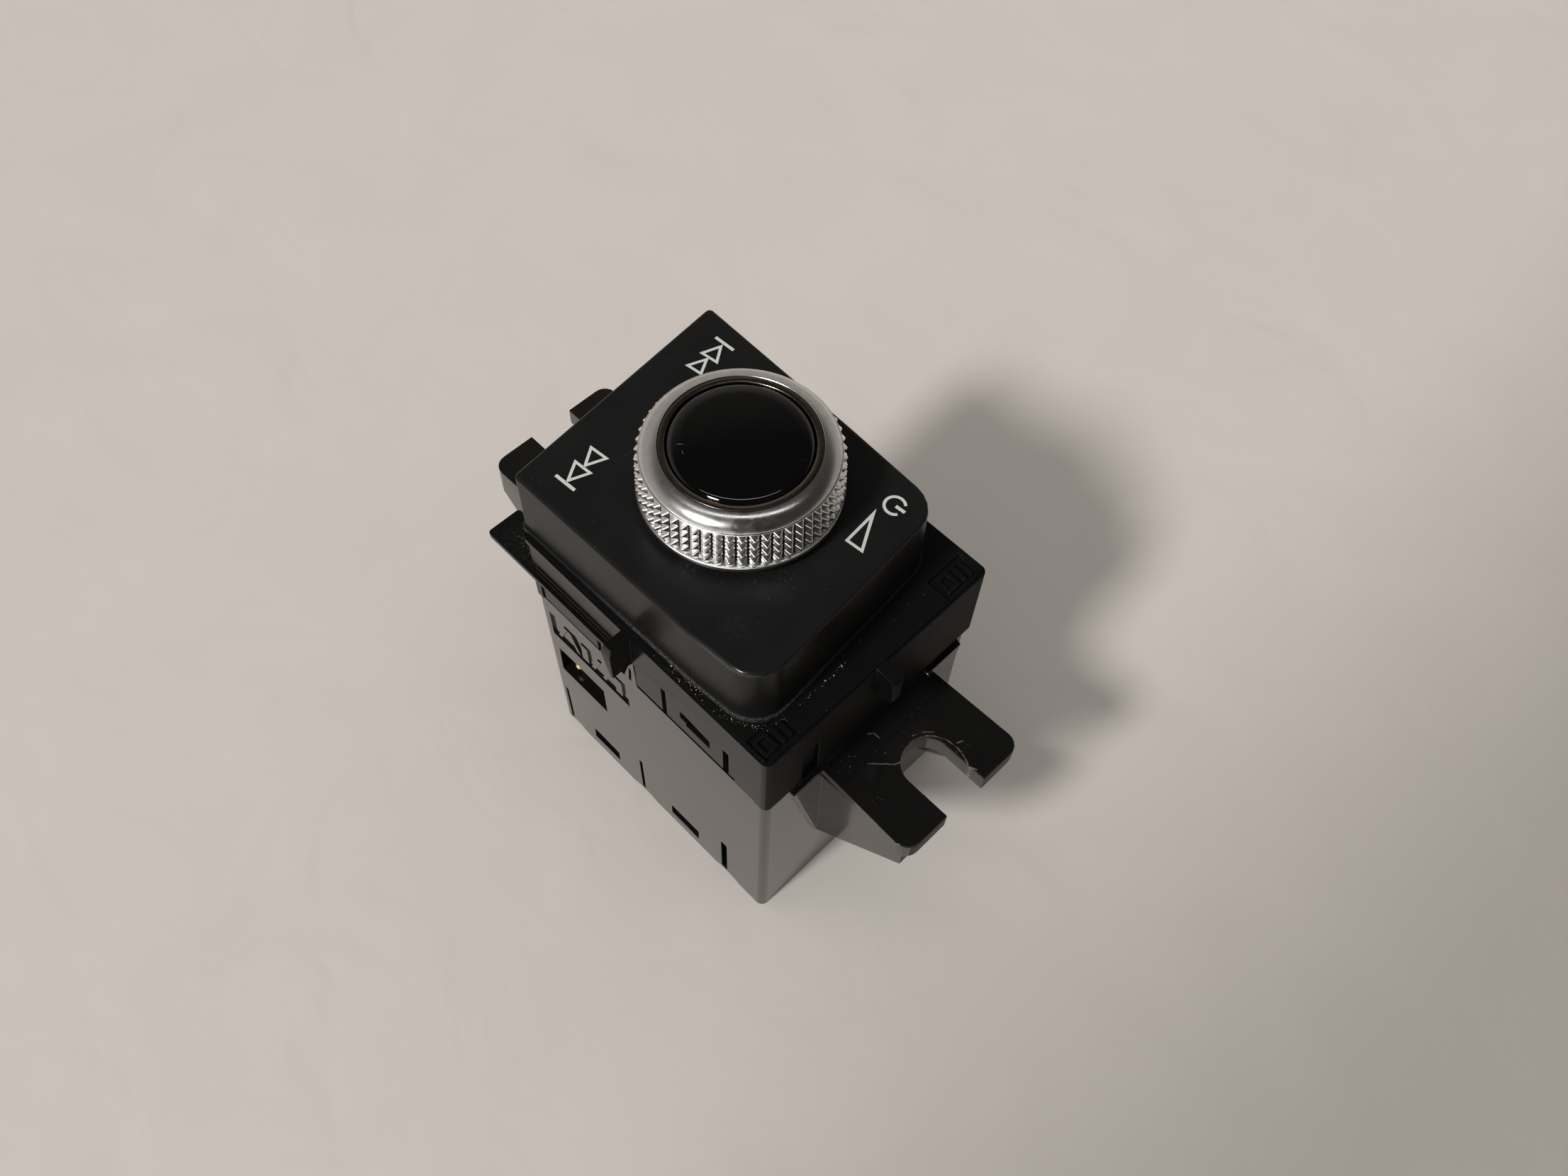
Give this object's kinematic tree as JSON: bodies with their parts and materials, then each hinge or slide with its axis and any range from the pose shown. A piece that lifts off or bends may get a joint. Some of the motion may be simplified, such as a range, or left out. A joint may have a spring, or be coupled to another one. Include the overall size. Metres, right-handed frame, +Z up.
{
  "type": "volume control switch",
  "caption": "Console volume switch: a knurled knob that turns, presses and tilts on a slanted cover over a frame and a deep housing with slotted mounting brackets.",
  "frame": {"origin": "centre of the lower housing's bottom face, on the surface that the switch stands on", "axes": "+Z up along the knob's axis, +X towards the side with the window, +Y towards the shorter bracket"},
  "size_m": [0.047, 0.0909, 0.0807],
  "materials": {
    "housing_black": "glossy injection moulded",
    "frame_black": "glossy injection moulded",
    "cover_black": "fine satin, soft to the touch",
    "knob_silver": "satin silver, cut knurl",
    "cap_black": "polished",
    "ring_metal": "dark brownish anodised",
    "inner_plastic": "moulded",
    "board_green": "solder mask",
    "component_black": "moulded",
    "brass_contact": "plain",
    "bright_steel": "plain",
    "encoder_metal": "pressed",
    "lamp_white": "moulded",
    "clear_plastic": "clear, polished",
    "seal_foam": "closed-cell foam"
  },
  "bodies": {
    "housing": {"lower_housing": "housing_black", "upper_frame": "frame_black", "top_cover": "cover_black", "base_plate": "inner_plastic", "connector_shroud": "inner_plastic", "board_header": "inner_plastic", "pivot_stand_front": "inner_plastic", "pivot_stand_rear": "inner_plastic", "skip_switch_left": "inner_plastic", "skip_switch_right": "inner_plastic", "main_board": "board_green", "switch_board": "board_green", "control_chip": "component_black", "filter_capacitor": "component_black", "connector_pins": "brass_contact", "brass_contact": "brass_contact", "header_pins": "brass_contact", "board_screws": "bright_steel", "cover_screws": "bright_steel", "backlight_leds": "lamp_white", "light_guide_left": "clear_plastic", "light_guide_right": "clear_plastic", "light_guide_power": "clear_plastic", "hub_seal": "seal_foam"},
    "rocker": {"rocker_cradle": "inner_plastic", "tilt_pins": "bright_steel", "encoder_body": "encoder_metal", "encoder_nut": "bright_steel", "press_dome": "bright_steel", "return_spring": "bright_steel"},
    "plunger": {"sliding_collar": "inner_plastic"},
    "knob": {"encoder_shaft": "bright_steel", "knob_hub": "inner_plastic", "knob_sleeve": "knob_silver", "trim_ring": "ring_metal", "knob_cap": "cap_black"}
  },
  "joints": [
    {"name": "skip_tilt", "type": "hinge", "parent": "housing", "child": "rocker", "pos_m": [0, -0.0027, 0.06], "axis": [0, 1, 0], "range_deg": [-2, 2], "stiffness_Nm_per_rad": 0.8},
    {"name": "knob_press", "type": "slide", "parent": "rocker", "child": "plunger", "axis": [0, 0, -1], "range_m": [0, 0.0006], "stiffness_N_per_m": 1500, "springref_m": -0.001, "deforming": ["return_spring"]},
    {"name": "volume_spin", "type": "hinge", "parent": "plunger", "child": "knob", "pos_m": [0, -0.0027, 0.0714], "axis": [0, 0, 1], "continuous": true}
  ]
}
